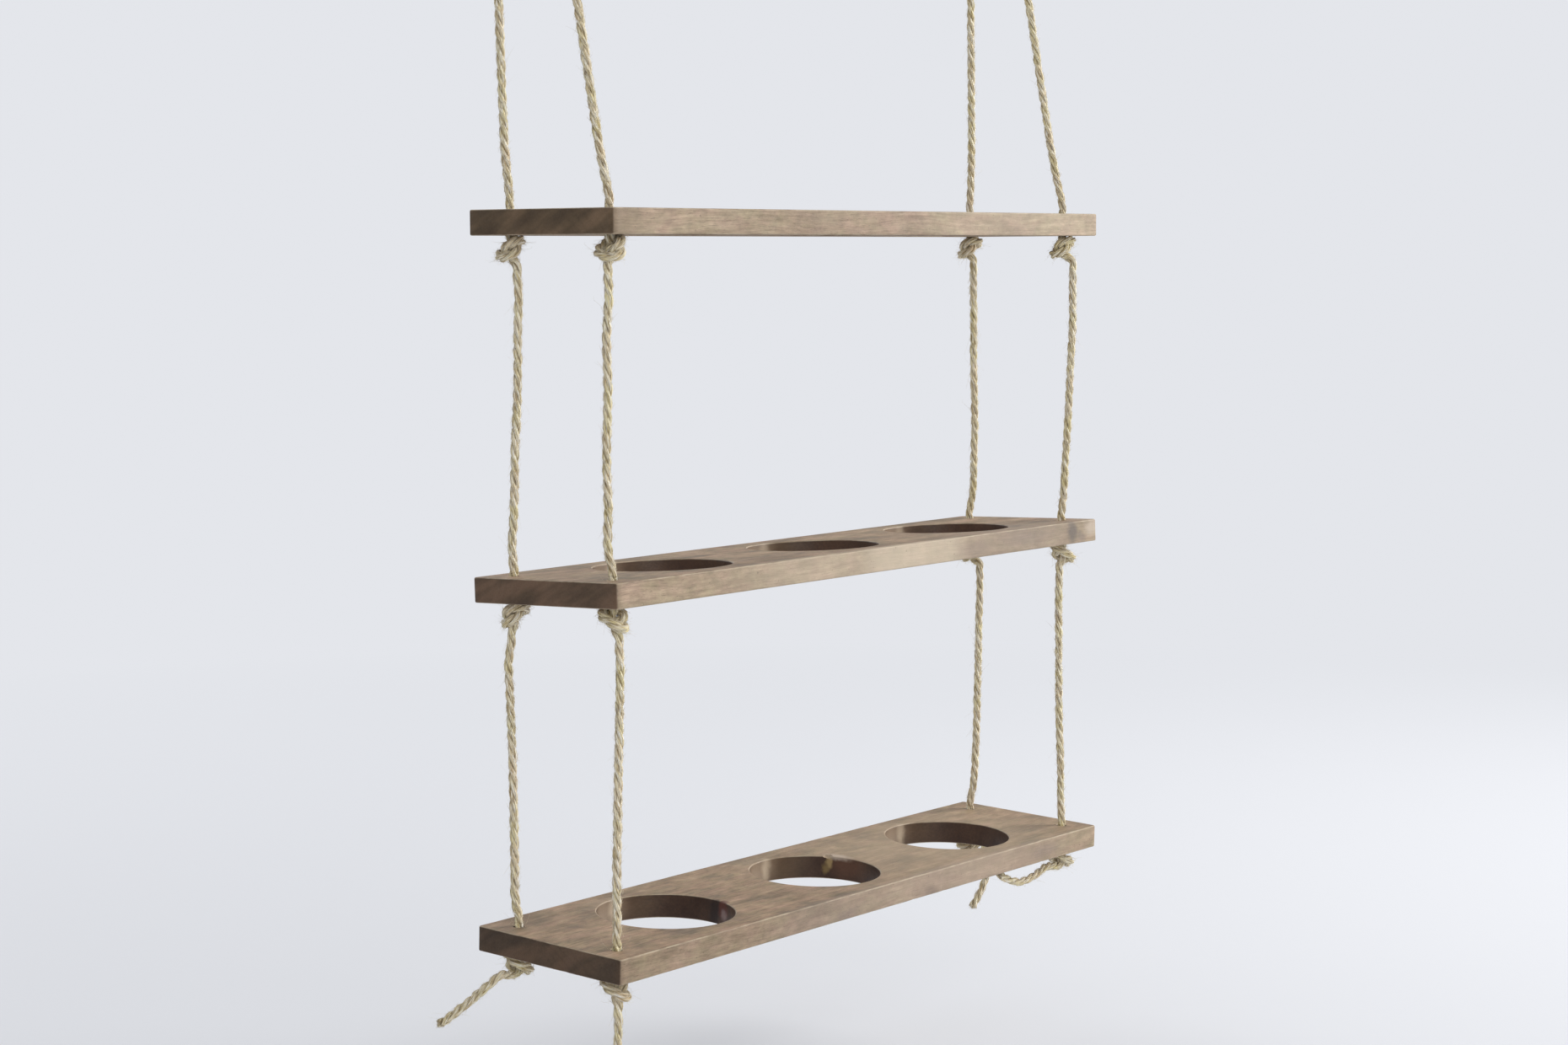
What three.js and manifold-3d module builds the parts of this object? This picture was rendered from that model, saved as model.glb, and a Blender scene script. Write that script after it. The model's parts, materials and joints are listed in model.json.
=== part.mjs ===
// Hanging rope shelf: three boards with round pot holes, carried by knotted ropes from two wall hooks.
// Millimetres, +Z up, +X along the boards, +Y into the wall.
// The origin is on the wall, midway between the hooks, level with the wire that the ropes bear on.
import * as THREE from "three";
import { mergeVertices } from "three/addons/utils/BufferGeometryUtils.js";
import Module from "manifold-3d";

const wasm = await Module();
wasm.setup();

// Boards
const boardLength = 610;
const boardDepth = 140;
const boardThickness = 18.5;
const boardEdgeEase = 1.2;
const boardCornerEase = 1.5;
const potHoleDiameter = 104;
const potHoleSpacing = 180;
const potRowShift = 3;
const ropeHoleEndInset = 20;
const ropeHoleEdgeInset = 22;
const boardWallGap = 2;

// Heights of the boards' middles, and how far each leans about its long axis, in degrees
const topBoardDrop = 558;
const upperBay = 262;
const lowerBay = 260;
const topBoardLean = 0;
const middleBoardLean = -2;
const bottomBoardLean = 2;

// Rope
const ropeDiameter = 6.35;
const ropeHoleClearance = 1.65;
const ropeEndGap = 0.8;
const ropeStraightEnd = 4;
const knotSeatGap = 0.3;
const stemRise = 1.5;

// Wall hooks
const hookWireDiameter = 5;
const hookStandoff = 8;
const crookRadius = 12;
const crookTipRise = 6;
const hookNeckRise = 4;
const hookNeckRadius = 6;
const shankLength = 25;
const shankPointLength = 7;
const shoulderDiameter = 12;
const shoulderThickness = 1.5;

// The rope's bend over a hook
const hookSeatGap = 0.5;
const bendDrop = 24;
const legGap = 2;

// A pulled knot squeezes the rope that is in it
const knotSqueezeShare = 0.84;

// Half of the overhand knot's route, from its middle towards where the rope leaves it, in rope diameters
const knotRouteShares = [
  [0, 1.15, 0],
  [0.77, 1.06, 0.4],
  [1.21, 0.4, 0.8],
  [1.1, -0.52, 1],
  [0.44, -1.17, 0.86],
  [-0.35, -1.24, 0.44],
  [-0.66, -0.67, -0.04],
  [-0.22, -0.09, -0.52],
];
const knotLobeHeightShare = 1.02;
const wayInHeightShares = [1.6, 1.04];

// Where the rope goes on from its knot: out to the knot's side, or down, moving over on the way by the
// first share of how far off its hole it goes on, at the second share's height
const sideExitShares = [[0.08, 0.03, -0.92], [0.5, 0.16, -1.1], [1.1, 0.36, -1.05], [1.8, 0.58, -0.92]];
const downExitShares = [[0.12, -1.04], [0.65, -1.45], [1, -1.9], [1, -2.25]];

// How far in front of (-) or behind (+) its hole each rope goes on down, in rope diameters
const wayOutShares = {
  top_back_left: -1, top_front_left: 0.3, top_back_right: -0.65, top_front_right: -1.65,
  middle_back_left: 0.7, middle_front_left: -0.7, middle_back_right: -1.5, middle_front_right: 0.55,
  bottom_front_left: -0.4,
};

// A hanging rope's wander from the straight line, in rope diameters, at these shares of its length
const wanderAtShares = [0.07, 0.2, 0.4, 0.6, 0.8, 0.93];
const wanderDirectionShares = [0.63, -0.78];
const wanderShares = {
  upper_back_left: [-0.1, -0.3, -0.55, -0.7, -0.65, -0.4],
  upper_front_left: [0, -0.1, -0.2, -0.3, -0.3, -0.25],
  upper_back_right: [0.1, 0.25, 0.4, 0.5, 0.45, 0.3],
  upper_front_right: [0, -0.1, -0.2, -0.3, -0.35, -0.3],
  middle_back_left: [0.2, 0.15, 0.2, 0, -0.05, -0.2],
  middle_front_left: [0.05, -0.25, -0.2, -0.45, -0.35, -0.45],
  middle_back_right: [0, 0.15, 0.25, 0.5, 0.5, 0.4],
  middle_front_right: [0.1, 0.3, 0.3, 0.3, 0.2, 0.15],
  lower_back_left: [-0.4, -0.35, -0.25, -0.25, -0.3, -0.35],
  lower_front_left: [0.1, 0.1, 0.05, 0, -0.05, 0.05],
  lower_back_right: [0.1, 0.15, 0.3, 0.4, 0.45, 0.35],
  lower_front_right: [-0.1, -0.15, -0.2, -0.2, -0.05, -0.1],
};

// Each knot's turn about its rope, in degrees
const knotTurns = {
  top_back_left: 320, top_front_left: 15, top_back_right: 285, top_front_right: 300,
  middle_back_left: 285, middle_front_left: 95, middle_back_right: 320, middle_front_right: 150,
  bottom_back_left: 165, bottom_front_left: 110, bottom_back_right: 338, bottom_front_right: 165,
};

// The cut ends' routes below the bottom board, in rope diameters from where they leave the knot
const tailShares = {
  back_left: [[-2.6, 0, -0.5], [-5.2, -0.1, -1.5], [-7.9, -0.2, -2.45], [-11, -0.3, -3.4]],
  front_left: [[0, 0, -1.5], [-0.1, 0, -3.4], [-0.2, 0, -5.2], [-0.5, 0, -7.5], [-0.6, 0, -10.7]],
  back_right: [[1.6, 0, -1.3], [2.2, 0, -3.6], [1.4, 0, -5.8], [-1.4, 0, -8.7]],
  front_right: [[-2.2, -0.1, 0.1], [-4.8, -0.2, -0.5], [-7.8, -0.1, -0.8], [-10.4, 0, -0.1], [-12.6, 0, 0.9]],
};

const wood = { color: 0x8a715c, roughness: 0.62, metalness: 0 };
const rope = { color: 0xc0ae85, roughness: 0.95, metalness: 0 };
const steel = { color: 0xb4b6b8, roughness: 0.35, metalness: 1 };

const ropeHoleDiameter = ropeDiameter + ropeHoleClearance;
const knotRopeDiameter = ropeDiameter * knotSqueezeShare;
const ropeX = boardLength / 2 - ropeHoleEndInset;
const ropeY = boardDepth / 2 - ropeHoleEdgeInset;
const hookSeatY = -(hookStandoff + crookRadius);
const shankZ = crookRadius + hookNeckRise + hookNeckRadius;
const bendRadius = hookWireDiameter / 2 + hookSeatGap + ropeDiameter / 2;
const legSpread = ropeDiameter + legGap;
const knotDrop = ropeDiameter * knotLobeHeightShare + knotRopeDiameter / 2 + knotSeatGap;
const boardY = -(boardDepth / 2 + boardWallGap);
const middleBoardDrop = topBoardDrop + upperBay;
const bottomBoardDrop = middleBoardDrop + lowerBay;

// A smooth curve through points, stepped so many times between each two of them
class RoutedCurve extends THREE.CatmullRomCurve3 {
  constructor(points, stepsBetween) {
    super(points, false, "centripetal");
    const spans = points.length - 1;
    this.stations = [0];
    for (let span = 0; span < spans; span += 1) {
      const steps = stepsBetween(span, spans);
      for (let step = 1; step <= steps; step += 1) {
        this.stations.push((span + step / steps) / spans);
      }
    }
  }

  getUtoTmapping(u) {
    return this.stations[Math.round(u * (this.stations.length - 1))];
  }
}

function named(name, geometry, look) {
  const mesh = new THREE.Mesh(geometry, new THREE.MeshStandardMaterial(look));
  mesh.name = name;
  return mesh;
}

function welded(geometry) {
  geometry.deleteAttribute("normal");
  geometry.deleteAttribute("uv");
  return mergeVertices(geometry);
}

function toManifold(geometry) {
  const merged = welded(geometry);
  return new wasm.Manifold(new wasm.Mesh({
    numProp: 3,
    vertProperties: new Float32Array(merged.attributes.position.array),
    triVerts: new Uint32Array(merged.index.array),
  }));
}

function toGeometry(solid) {
  const mesh = solid.getMesh();
  const geometry = new THREE.BufferGeometry();
  geometry.setAttribute("position", new THREE.BufferAttribute(new Float32Array(mesh.vertProperties), 3));
  geometry.setIndex(new THREE.BufferAttribute(new Uint32Array(mesh.triVerts), 1));
  return geometry;
}

function point(shares, unit) {
  return new THREE.Vector3(shares[0] * unit, shares[1] * unit, shares[2] * unit);
}

// A round section with an even number of sides
function roundSection(diameter, sides) {
  const corners = [];
  for (let side = 0; side < sides; side += 1) {
    const angle = (side / sides) * 2 * Math.PI;
    corners.push(new THREE.Vector2(Math.cos(angle), Math.sin(angle)).multiplyScalar(diameter / 2));
  }
  return new THREE.Shape(corners);
}

function tubeAlong(points, diameter, stepsBetween = () => 1) {
  const path = new RoutedCurve(points, stepsBetween);
  const steps = path.stations.length - 1;
  const section = roundSection(diameter, 8);
  return welded(new THREE.ExtrudeGeometry(section, { steps, extrudePath: path, bevelEnabled: false }));
}

// The least clear distance between two turns of a tube that comes back near itself
function leastGapToItself(points, diameter) {
  const path = new RoutedCurve(points, () => 24);
  const spots = path.stations.map((t) => path.getPoint(t));
  const run = [0];
  for (let i = 1; i < spots.length; i += 1) {
    run.push(run[i - 1] + spots[i].distanceTo(spots[i - 1]));
  }
  let least = Infinity;
  for (let i = 0; i < spots.length; i += 1) {
    for (let j = i + 1; j < spots.length; j += 1) {
      if (run[j] - run[i] > 2 * diameter) {
        least = Math.min(least, spots[i].distanceTo(spots[j]) - diameter);
      }
    }
  }
  return least;
}

// Board: eased edges, three pot holes in a row and a rope hole near each corner
function boardOutline() {
  const x = boardLength / 2;
  const y = boardDepth / 2;
  const e = boardCornerEase;
  return new THREE.Shape([
    new THREE.Vector2(-x + e, -y), new THREE.Vector2(x - e, -y),
    new THREE.Vector2(x, -y + e), new THREE.Vector2(x, y - e),
    new THREE.Vector2(x - e, y), new THREE.Vector2(-x + e, y),
    new THREE.Vector2(-x, y - e), new THREE.Vector2(-x, -y + e),
  ]);
}

function roundHole(x, y, diameter, sides) {
  const corners = [];
  for (let side = 0; side < sides; side += 1) {
    const angle = -((side + 0.5) / sides) * 2 * Math.PI;
    corners.push(new THREE.Vector2(x + Math.cos(angle) * diameter / 2, y + Math.sin(angle) * diameter / 2));
  }
  return new THREE.Path(corners);
}

function boardGeometry() {
  const outline = boardOutline();
  for (const place of [-1, 0, 1]) {
    outline.holes.push(roundHole(potRowShift + place * potHoleSpacing, 0, potHoleDiameter, 36));
  }
  for (const x of [-ropeX, ropeX]) {
    for (const y of [-ropeY, ropeY]) {
      outline.holes.push(roundHole(x, y, ropeHoleDiameter, 10));
    }
  }
  const board = new THREE.ExtrudeGeometry(outline, {
    depth: boardThickness - 2 * boardEdgeEase,
    bevelEnabled: true,
    bevelThickness: boardEdgeEase,
    bevelSize: boardEdgeEase,
    bevelOffset: -boardEdgeEase,
    bevelSegments: 1,
  });
  board.translate(0, 0, boardEdgeEase - boardThickness / 2);
  return welded(board);
}

// The rope's way on from a knot, in the knot's own turned frame
function exitPoints(name) {
  if (!(name in wayOutShares)) {
    return sideExitShares.map((shares) => point(shares, ropeDiameter));
  }
  const turn = THREE.MathUtils.degToRad(knotTurns[name]);
  const over = new THREE.Vector3(0, wayOutShares[name], 0).applyAxisAngle(new THREE.Vector3(0, 0, 1), -turn);
  return downExitShares.map(([part, height]) => point([over.x * part, over.y * part, height], ropeDiameter));
}

// Overhand knot: one unbroken rope, from the stem that goes up through the board to the rope's way out
function knotPoints(name) {
  const lower = knotRouteShares.map((shares) => point(shares, ropeDiameter));
  const upper = lower.slice(1).map((spot) => new THREE.Vector3(-spot.x, spot.y, -spot.z)).reverse();
  return [
    new THREE.Vector3(0, 0, knotDrop + boardThickness + stemRise),
    ...wayInHeightShares.map((share) => new THREE.Vector3(0, 0, ropeDiameter * share)),
    ...upper,
    ...lower,
    ...exitPoints(name),
  ];
}

// The stem and the way out are nearly straight and take one step; the turns between take two
function knotSteps(span, spans) {
  return span < 3 || span > spans - 3 ? 1 : 2;
}

// Tail: the cut end of a rope below the bottom board
function tailPoints(end, heading, shares) {
  const start = end.clone().addScaledVector(heading, ropeEndGap);
  return [
    start,
    start.clone().addScaledVector(heading, ropeDiameter),
    ...shares.map((share) => start.clone().add(point(share, ropeDiameter))),
  ];
}

// Stretch: a rope between two fixed ends, straight at each of them
function stretchPoints(top, bottom, wander) {
  const first = top.clone().setZ(top.z - ropeStraightEnd);
  const last = bottom.clone().setZ(bottom.z + ropeStraightEnd);
  const points = [top, first];
  wander.forEach((share, i) => {
    const spot = first.clone().lerp(last, wanderAtShares[i]);
    spot.x += wanderDirectionShares[0] * share * ropeDiameter;
    spot.y += wanderDirectionShares[1] * share * ropeDiameter;
    points.push(spot);
  });
  points.push(last, bottom);
  return points;
}

// Bend: the rope's middle, over the hook's wire, with its two legs drawn together below
const legShares = [[1, 1], [0.78, 1], [0.5, 0.62], [0.25, 0.2]];

function bendPoints() {
  const leg = (side) => legShares.map(([down, drawn]) => new THREE.Vector3(
    side * bendRadius * (1 - drawn),
    side * (legSpread / 2) * drawn,
    -bendDrop * down,
  ));
  const arch = [];
  for (let step = 0; step <= 8; step += 1) {
    const angle = Math.PI * (1 - step / 8);
    arch.push(new THREE.Vector3(Math.cos(angle), 0, Math.sin(angle)).multiplyScalar(bendRadius));
  }
  return [...leg(-1), ...arch, ...leg(1).reverse()];
}

// Hook: a bent wire with a pointed shank in the wall and a shoulder against it
function arcAt(y, z, radius, fromAngle, toAngle, steps) {
  const spots = [];
  for (let step = 0; step <= steps; step += 1) {
    const angle = THREE.MathUtils.degToRad(fromAngle + (toAngle - fromAngle) * step / steps);
    spots.push(new THREE.Vector3(0, y + Math.cos(angle) * radius, z + Math.sin(angle) * radius));
  }
  return spots;
}

function hookGeometry() {
  const wire = tubeAlong([
    new THREE.Vector3(0, 0, shankZ),
    ...arcAt(hookNeckRadius - hookStandoff, shankZ - hookNeckRadius, hookNeckRadius, 90, 180, 4),
    ...arcAt(hookSeatY, crookRadius, crookRadius, 0, -180, 9),
    new THREE.Vector3(0, hookSeatY - crookRadius, crookRadius + crookTipRise),
  ], hookWireDiameter);
  const wireRadius = hookWireDiameter / 2;
  const shoulderRadius = shoulderDiameter / 2;
  const rim = shoulderThickness / 3;
  const shank = new THREE.LatheGeometry([
    new THREE.Vector2(0, -shoulderThickness),
    new THREE.Vector2(shoulderRadius - rim, -shoulderThickness),
    new THREE.Vector2(shoulderRadius, -shoulderThickness + rim),
    new THREE.Vector2(shoulderRadius, 0),
    new THREE.Vector2(wireRadius, 0),
    new THREE.Vector2(wireRadius, shankLength - shankPointLength),
    new THREE.Vector2(0, shankLength),
  ], 20);
  shank.translate(0, 0, shankZ);
  return toGeometry(toManifold(shank).add(toManifold(wire)));
}

const shelf = new THREE.Group();
const sides = { left: -1, right: 1 };
const rows = { front: -1, back: 1 };

for (const [sideName, side] of Object.entries(sides)) {
  const hook = named(`hook_${sideName}`, hookGeometry(), steel);
  hook.position.set(side * ropeX, 0, 0);
  shelf.add(hook);
  const bend = named(`rope_bend_${sideName}`, tubeAlong(bendPoints(), ropeDiameter), rope);
  bend.position.set(side * ropeX, hookSeatY, 0);
  shelf.add(bend);
}

// One tier: a board and the knots under it, leaning together; keeps where its ropes start and end
function addTier(tierName, drop, lean) {
  const tier = new THREE.Group();
  tier.position.set(0, boardY, -drop);
  tier.rotation.x = THREE.MathUtils.degToRad(lean);
  shelf.add(tier);
  tier.updateMatrixWorld();
  tier.add(named(`shelf_${tierName}`, boardGeometry(), wood));
  const ends = {};
  for (const [sideName, side] of Object.entries(sides)) {
    for (const [rowName, row] of Object.entries(rows)) {
      const corner = `${rowName}_${sideName}`;
      const points = knotPoints(`${tierName}_${corner}`);
      const turn = new THREE.Group();
      turn.position.set(side * ropeX, row * ropeY, -(boardThickness / 2 + knotDrop));
      turn.rotation.z = THREE.MathUtils.degToRad(knotTurns[`${tierName}_${corner}`]);
      turn.add(named(`knot_${tierName}_${corner}`, tubeAlong(points, knotRopeDiameter, knotSteps), rope));
      tier.add(turn);
      turn.updateMatrixWorld();
      const [before, last] = points.slice(-2).map((spot) => turn.localToWorld(spot.clone()));
      const stem = turn.localToWorld(points[0].clone());
      ends[corner] = { stem, exit: last, heading: last.clone().sub(before).normalize() };
    }
  }
  return ends;
}

const top = addTier("top", topBoardDrop, topBoardLean);
const middle = addTier("middle", middleBoardDrop, middleBoardLean);
const bottom = addTier("bottom", bottomBoardDrop, bottomBoardLean);

function addStretch(name, from, to) {
  const start = from.clone().setZ(from.z - ropeEndGap);
  const end = to.clone().setZ(to.z + ropeEndGap);
  shelf.add(named(`rope_${name}`, tubeAlong(stretchPoints(start, end, wanderShares[name]), ropeDiameter), rope));
}

for (const [sideName, side] of Object.entries(sides)) {
  for (const [rowName, row] of Object.entries(rows)) {
    const corner = `${rowName}_${sideName}`;
    const leg = new THREE.Vector3(side * ropeX, hookSeatY + row * legSpread / 2, -bendDrop);
    addStretch(`upper_${corner}`, leg, top[corner].stem);
    addStretch(`middle_${corner}`, top[corner].exit, middle[corner].stem);
    addStretch(`lower_${corner}`, middle[corner].exit, bottom[corner].stem);
    const tail = tailPoints(bottom[corner].exit, bottom[corner].heading, tailShares[corner]);
    shelf.add(named(`rope_tail_${corner}`, tubeAlong(tail, ropeDiameter), rope));
  }
}

const knotGaps = Object.keys(knotTurns).map((name) => leastGapToItself(knotPoints(name), knotRopeDiameter));
console.log("least gap of a knot to itself, mm:", Math.min(...knotGaps).toFixed(2));
console.log("least gap of a hook bend to itself, mm:", leastGapToItself(bendPoints(), ropeDiameter).toFixed(2));

export default shelf;
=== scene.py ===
"""Hanging rope shelf: worn boards on knotted twisted ropes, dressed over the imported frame. Metres, +Z up."""
import json
import math

import bmesh
import bpy
import numpy as np
from mathutils import Matrix, Vector


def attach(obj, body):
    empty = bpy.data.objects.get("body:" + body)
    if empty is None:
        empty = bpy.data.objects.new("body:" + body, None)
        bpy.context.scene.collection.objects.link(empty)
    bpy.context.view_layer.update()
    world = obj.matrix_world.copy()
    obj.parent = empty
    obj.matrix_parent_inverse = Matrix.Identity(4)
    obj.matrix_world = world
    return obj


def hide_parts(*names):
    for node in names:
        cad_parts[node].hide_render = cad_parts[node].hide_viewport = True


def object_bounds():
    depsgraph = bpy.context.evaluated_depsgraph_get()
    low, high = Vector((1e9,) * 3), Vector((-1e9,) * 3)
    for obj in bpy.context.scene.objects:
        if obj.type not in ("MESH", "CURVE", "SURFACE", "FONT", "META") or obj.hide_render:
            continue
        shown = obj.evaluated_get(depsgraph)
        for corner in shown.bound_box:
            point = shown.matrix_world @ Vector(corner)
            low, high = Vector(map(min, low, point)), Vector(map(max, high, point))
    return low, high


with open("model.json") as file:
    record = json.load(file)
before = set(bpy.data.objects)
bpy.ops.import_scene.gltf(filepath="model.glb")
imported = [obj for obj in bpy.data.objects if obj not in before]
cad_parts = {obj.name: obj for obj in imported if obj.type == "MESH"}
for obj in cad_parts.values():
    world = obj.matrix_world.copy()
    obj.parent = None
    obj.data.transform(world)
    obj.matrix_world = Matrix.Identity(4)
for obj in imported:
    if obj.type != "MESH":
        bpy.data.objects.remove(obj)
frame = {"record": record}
cad_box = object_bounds()
MM = 0.001
FULL_TURN = 2 * math.pi

# Sizes and routes of the frame, in metres
ROPE = 6.35 * MM
KNOT_ROPE = ROPE * 0.84
ROPE_X, ROPE_Y = 285 * MM, 48 * MM
BOARD_Y = -72 * MM
LENGTH, DEPTH, THICK = 610 * MM, 140 * MM, 18.5 * MM
DROP = {"top": -558 * MM, "middle": -820 * MM, "bottom": -1080 * MM}
LEAN = {"top": 0.0, "middle": -2.0, "bottom": 2.0}
POT_X = (-177 * MM, 3 * MM, 183 * MM)
POT_RADIUS = 52 * MM
ROPE_HOLE_RADIUS = 4 * MM
SEAT_Y = -20 * MM
CROOK = 12 * MM
WIRE = 5 * MM
SHANK_Z = 22 * MM
BEND = 6.175 * MM
LEG_SPREAD = ROPE + 2 * MM
BEND_DROP = 24 * MM
END_GAP = 0.8 * MM
STRAIGHT_END = 4 * MM
KNOT_DROP = ROPE * 1.02 + KNOT_ROPE / 2 + 0.3 * MM
STEM_RISE = 1.5 * MM
LAY = 31 * MM
YARN_STEP = 5.4 * MM
SIDES = {"left": -1, "right": 1}
ROWS = {"front": -1, "back": 1}

KNOT_ROUTE = np.array([
    [0, 1.15, 0], [0.77, 1.06, 0.4], [1.21, 0.4, 0.8], [1.1, -0.52, 1],
    [0.44, -1.17, 0.86], [-0.35, -1.24, 0.44], [-0.66, -0.67, -0.04], [-0.22, -0.09, -0.52],
]) * ROPE
WAY_IN = (1.6, 1.04)
SIDE_EXIT = np.array([[0.08, 0.03, -0.92], [0.5, 0.16, -1.1], [1.1, 0.36, -1.05], [1.8, 0.58, -0.92]]) * ROPE
DOWN_EXIT = ((0.12, -1.04), (0.65, -1.45), (1, -1.9), (1, -2.25))
# Values by corner, in this order; a rope leaves its knot sideways where its way out is None
CORNERS = ("back_left", "front_left", "back_right", "front_right")
TURN = {"top": (320, 15, 285, 300), "middle": (285, 95, 320, 150), "bottom": (165, 110, 338, 165)}
WAY_OUT = {
    "top": (-1, 0.3, -0.65, -1.65), "middle": (0.7, -0.7, -1.5, 0.55), "bottom": (None, -0.4, None, None),
}
WANDER_AT = (0.07, 0.2, 0.4, 0.6, 0.8, 0.93)
WANDER_DIRECTION = np.array([0.63, -0.78, 0])
WANDER = {
    "upper": (
        (-0.1, -0.3, -0.55, -0.7, -0.65, -0.4), (0, -0.1, -0.2, -0.3, -0.3, -0.25),
        (0.1, 0.25, 0.4, 0.5, 0.45, 0.3), (0, -0.1, -0.2, -0.3, -0.35, -0.3)),
    "middle": (
        (0.2, 0.15, 0.2, 0, -0.05, -0.2), (0.05, -0.25, -0.2, -0.45, -0.35, -0.45),
        (0, 0.15, 0.25, 0.5, 0.5, 0.4), (0.1, 0.3, 0.3, 0.3, 0.2, 0.15)),
    "lower": (
        (-0.4, -0.35, -0.25, -0.25, -0.3, -0.35), (0.1, 0.1, 0.05, 0, -0.05, 0.05),
        (0.1, 0.15, 0.3, 0.4, 0.45, 0.35), (-0.1, -0.15, -0.2, -0.2, -0.05, -0.1)),
}
TAIL = {
    "back_left": [[-2.6, 0, -0.5], [-5.2, -0.1, -1.5], [-7.9, -0.2, -2.45], [-11, -0.3, -3.4]],
    "front_left": [[0, 0, -1.5], [-0.1, 0, -3.4], [-0.2, 0, -5.2], [-0.5, 0, -7.5], [-0.6, 0, -10.7]],
    "back_right": [[1.6, 0, -1.3], [2.2, 0, -3.6], [1.4, 0, -5.8], [-1.4, 0, -8.7]],
    "front_right": [
        [-2.2, -0.1, 0.1], [-4.8, -0.2, -0.5], [-7.8, -0.1, -0.8], [-10.4, 0, -0.1], [-12.6, 0, 0.9]],
}
BEND_LEG = ((1, 1), (0.78, 1), (0.5, 0.62), (0.25, 0.2))
ARCH_STEPS = 8

# Camera, at the photograph's place: pixels, metres and degrees
PICTURE_WIDTH, PICTURE_HEIGHT = 1860, 1240
FOCAL_PIXELS = 3458.1
MIDDLE_ROW = 560
SENSOR_WIDTH = 36
CAMERA_PLACE = (-1.7943, -1.4900, -0.5822)
CAMERA_YAW, CAMERA_TILT, CAMERA_ROLL = 51.159, 4.256, -0.289
CAMERA_REACH = 60


def add_camera():
    yaw, tilt, roll = (math.radians(a) for a in (CAMERA_YAW, CAMERA_TILT, CAMERA_ROLL))
    base = Matrix(((1, 0, 0), (0, 0, -1), (0, 1, 0)))
    view = Matrix.Rotation(roll, 3, "Z") @ Matrix.Rotation(tilt, 3, "X") @ base @ Matrix.Rotation(yaw, 3, "Z")
    right, down, forward = view[0], view[1], view[2]
    turned = Matrix((right, -Vector(down), -Vector(forward))).transposed().to_4x4()
    data = bpy.data.cameras.new("camera")
    data.sensor_width = SENSOR_WIDTH
    data.lens = FOCAL_PIXELS / PICTURE_WIDTH * SENSOR_WIDTH
    data.shift_y = (MIDDLE_ROW - PICTURE_HEIGHT / 2) / PICTURE_WIDTH
    data.clip_end = CAMERA_REACH
    camera = linked("camera", data)
    camera.matrix_world = Matrix.Translation(CAMERA_PLACE) @ turned
    bpy.context.scene.camera = camera


# Routes
def smooth(points, per_span=24):
    """Samples the centripetal curve through the points."""
    p = np.asarray(points, float)
    p = np.vstack([2 * p[0] - p[1], p, 2 * p[-1] - p[-2]])
    out = []
    for i in range(1, len(p) - 2):
        x0, x1, x2, x3 = p[i - 1], p[i], p[i + 1], p[i + 2]
        d0, d1, d2 = (max(np.linalg.norm(b - a), 1e-9) ** 0.5 for a, b in ((x0, x1), (x1, x2), (x2, x3)))
        t1 = ((x1 - x0) / d0 - (x2 - x0) / (d0 + d1) + (x2 - x1) / d1) * d1
        t2 = ((x2 - x1) / d1 - (x3 - x1) / (d1 + d2) + (x3 - x2) / d2) * d1
        t = np.linspace(0, 1, per_span, endpoint=False)[:, None]
        bow = (-3 * x1 + 3 * x2 - 2 * t1 - t2) * t ** 2
        out.append(x1 + t1 * t + bow + (2 * x1 - 2 * x2 + t1 + t2) * t ** 3)
    out.append(p[-2][None])
    return np.vstack(out)


def distances(line):
    """How far along its line each point lies."""
    return np.concatenate([[0], np.cumsum(np.linalg.norm(np.diff(line, axis=0), axis=1))])


def tier_matrix(tier):
    return Matrix.Translation((0, BOARD_Y, DROP[tier])) @ Matrix.Rotation(math.radians(LEAN[tier]), 4, "X")


def placed(matrix, points):
    return np.array([(matrix @ Vector(p))[:] for p in np.asarray(points, float)])


def knot_points(tier, corner):
    row, side = corner.split("_")
    number = CORNERS.index(corner)
    turn = math.radians(TURN[tier][number])
    aside = WAY_OUT[tier][number]
    way_out = SIDE_EXIT
    if aside is not None:
        over = (math.sin(turn) * aside, math.cos(turn) * aside)
        way_out = np.array([[over[0] * part, over[1] * part, height] for part, height in DOWN_EXIT]) * ROPE
    way_in = [[0, 0, height * ROPE] for height in WAY_IN]
    upper = (KNOT_ROUTE[1:] * [-1, 1, -1])[::-1]
    local = np.vstack([[0, 0, KNOT_DROP + THICK + STEM_RISE], way_in, upper, KNOT_ROUTE, way_out])
    where = Matrix.Translation((SIDES[side] * ROPE_X, ROWS[row] * ROPE_Y, -(THICK / 2 + KNOT_DROP)))
    return placed(tier_matrix(tier) @ where @ Matrix.Rotation(turn, 4, "Z"), local)


def stretch_points(bay, corner, start, end):
    start = start - [0, 0, END_GAP]
    end = end + [0, 0, END_GAP]
    first = start - [0, 0, STRAIGHT_END]
    last = end + [0, 0, STRAIGHT_END]
    between = [first + (last - first) * share + WANDER_DIRECTION * aside * ROPE
               for share, aside in zip(WANDER_AT, WANDER[bay][CORNERS.index(corner)])]
    return np.array([start, first, *between, last, end])


def tail_points(corner, knot):
    heading = (knot[-1] - knot[-2]) / np.linalg.norm(knot[-1] - knot[-2])
    start = knot[-1] + heading * END_GAP
    return np.array([start, start + heading * ROPE, *(start + np.array(TAIL[corner]) * ROPE)])


def bend_points(side):
    def leg(way):
        return [[way * BEND * (1 - spread), way * LEG_SPREAD / 2 * spread, -BEND_DROP * drop]
                for drop, spread in BEND_LEG]
    angles = (math.pi * (1 - i / ARCH_STEPS) for i in range(ARCH_STEPS + 1))
    arch = [[math.cos(a) * BEND, 0, math.sin(a) * BEND] for a in angles]
    return np.array(leg(-1) + arch + leg(1)[::-1]) + [SIDES[side] * ROPE_X, SEAT_Y, 0]


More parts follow.
